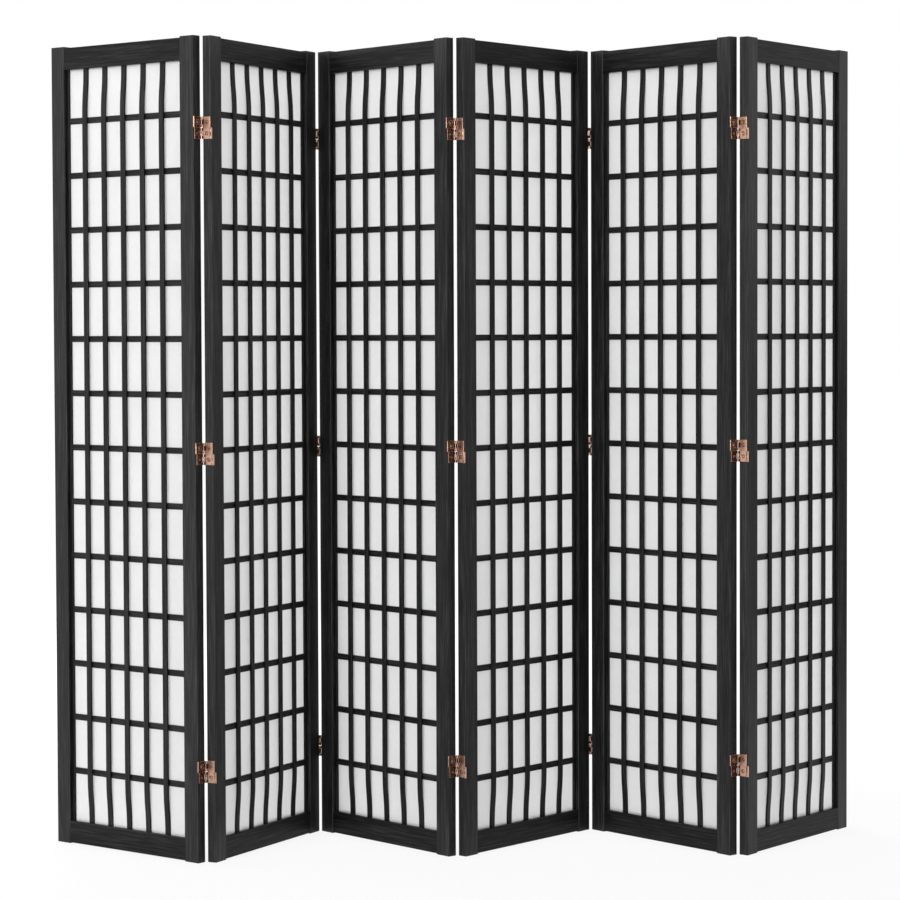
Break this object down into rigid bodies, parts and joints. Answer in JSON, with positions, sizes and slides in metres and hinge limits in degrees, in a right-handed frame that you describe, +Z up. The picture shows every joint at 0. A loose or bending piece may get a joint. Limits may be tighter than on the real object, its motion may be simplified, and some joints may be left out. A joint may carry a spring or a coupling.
{
  "type": "shoji folding screen",
  "caption": "Free-standing zigzag folding screen of tall framed panels: black-stained timber lattice over white paper, joined by two-way hinges.",
  "frame": {"origin": "on the floor, at the centre of the standing screen's footprint box", "axes": "+Z up; +X along the row of panels, from the leftmost to the rightmost as seen from the lattice side; +Y away from the lattice side, through the screen's depth"},
  "size_m": [1.8068, 0.4388, 1.79],
  "materials": {
    "stained_frame_wood": "black stain over fine straight-grained softwood, thin satin lacquer, grain showing as paler hairlines",
    "stained_slat_wood": "black stain on thin straight-grained slats, satin",
    "shoji_paper": "matt white fibre paper, slightly translucent, with faint long fibres",
    "hinge_metal": "antique copper plating on pressed steel, brushed, darker in the rolled eyes",
    "screw_metal": "antique copper plating, cross-slotted countersunk heads, bright on the rims"
  },
  "bodies": {
    "panel_1": {"panel_1_left_stile": "stained_frame_wood", "panel_1_right_stile": "stained_frame_wood", "panel_1_rails": "stained_frame_wood", "panel_1_front_slats": "stained_slat_wood", "panel_1_back_slats": "stained_slat_wood", "panel_1_paper": "shoji_paper", "panel_1_hinge_leaves": "hinge_metal", "panel_1_hinge_links": "hinge_metal", "panel_1_hinge_pins": "hinge_metal", "panel_1_hinge_screws": "screw_metal"},
    "panel_2": {"panel_2_left_stile": "stained_frame_wood", "panel_2_right_stile": "stained_frame_wood", "panel_2_rails": "stained_frame_wood", "panel_2_front_slats": "stained_slat_wood", "panel_2_back_slats": "stained_slat_wood", "panel_2_paper": "shoji_paper", "panel_2_hinge_leaves": "hinge_metal", "panel_2_hinge_links": "hinge_metal", "panel_2_hinge_pins": "hinge_metal", "panel_2_hinge_screws": "screw_metal"},
    "panel_3": {"panel_3_left_stile": "stained_frame_wood", "panel_3_right_stile": "stained_frame_wood", "panel_3_rails": "stained_frame_wood", "panel_3_front_slats": "stained_slat_wood", "panel_3_back_slats": "stained_slat_wood", "panel_3_paper": "shoji_paper", "panel_3_hinge_leaves": "hinge_metal", "panel_3_hinge_links": "hinge_metal", "panel_3_hinge_pins": "hinge_metal", "panel_3_hinge_screws": "screw_metal"},
    "panel_4": {"panel_4_left_stile": "stained_frame_wood", "panel_4_right_stile": "stained_frame_wood", "panel_4_rails": "stained_frame_wood", "panel_4_front_slats": "stained_slat_wood", "panel_4_back_slats": "stained_slat_wood", "panel_4_paper": "shoji_paper", "panel_4_hinge_leaves": "hinge_metal", "panel_4_hinge_links": "hinge_metal", "panel_4_hinge_pins": "hinge_metal", "panel_4_hinge_screws": "screw_metal"},
    "panel_5": {"panel_5_left_stile": "stained_frame_wood", "panel_5_right_stile": "stained_frame_wood", "panel_5_rails": "stained_frame_wood", "panel_5_front_slats": "stained_slat_wood", "panel_5_back_slats": "stained_slat_wood", "panel_5_paper": "shoji_paper", "panel_5_hinge_leaves": "hinge_metal", "panel_5_hinge_links": "hinge_metal", "panel_5_hinge_pins": "hinge_metal", "panel_5_hinge_screws": "screw_metal"},
    "panel_6": {"panel_6_left_stile": "stained_frame_wood", "panel_6_right_stile": "stained_frame_wood", "panel_6_rails": "stained_frame_wood", "panel_6_front_slats": "stained_slat_wood", "panel_6_back_slats": "stained_slat_wood", "panel_6_paper": "shoji_paper", "panel_6_hinge_leaves": "hinge_metal", "panel_6_hinge_links": "hinge_metal", "panel_6_hinge_pins": "hinge_metal", "panel_6_hinge_screws": "screw_metal"}
  },
  "joints": [
    {"name": "near_fold_left", "type": "hinge", "parent": "panel_2", "child": "panel_1", "pos_m": [-0.54467, -0.19848, 0.9], "axis": [0, 0, -1], "range_deg": [-100.9, 77.1]},
    {"name": "far_fold_left", "type": "hinge", "parent": "panel_3", "child": "panel_2", "pos_m": [-0.31451, 0.1854, 0.9], "axis": [0, 0, 1], "range_deg": [-110.2, 67.8]},
    {"name": "near_fold_middle", "type": "hinge", "parent": "panel_3", "child": "panel_4", "pos_m": [0.00058, -0.1325, 0.9], "axis": [0, 0, 1], "range_deg": [-97.5, 80.5]},
    {"name": "far_fold_right", "type": "hinge", "parent": "panel_4", "child": "panel_5", "pos_m": [0.30951, 0.19139, 0.9], "axis": [0, 0, -1], "range_deg": [-98.7, 79.3]},
    {"name": "near_fold_right", "type": "hinge", "parent": "panel_5", "child": "panel_6", "pos_m": [0.61786, -0.13304, 0.9], "axis": [0, 0, 1], "range_deg": [-102.2, 75.8]}
  ]
}
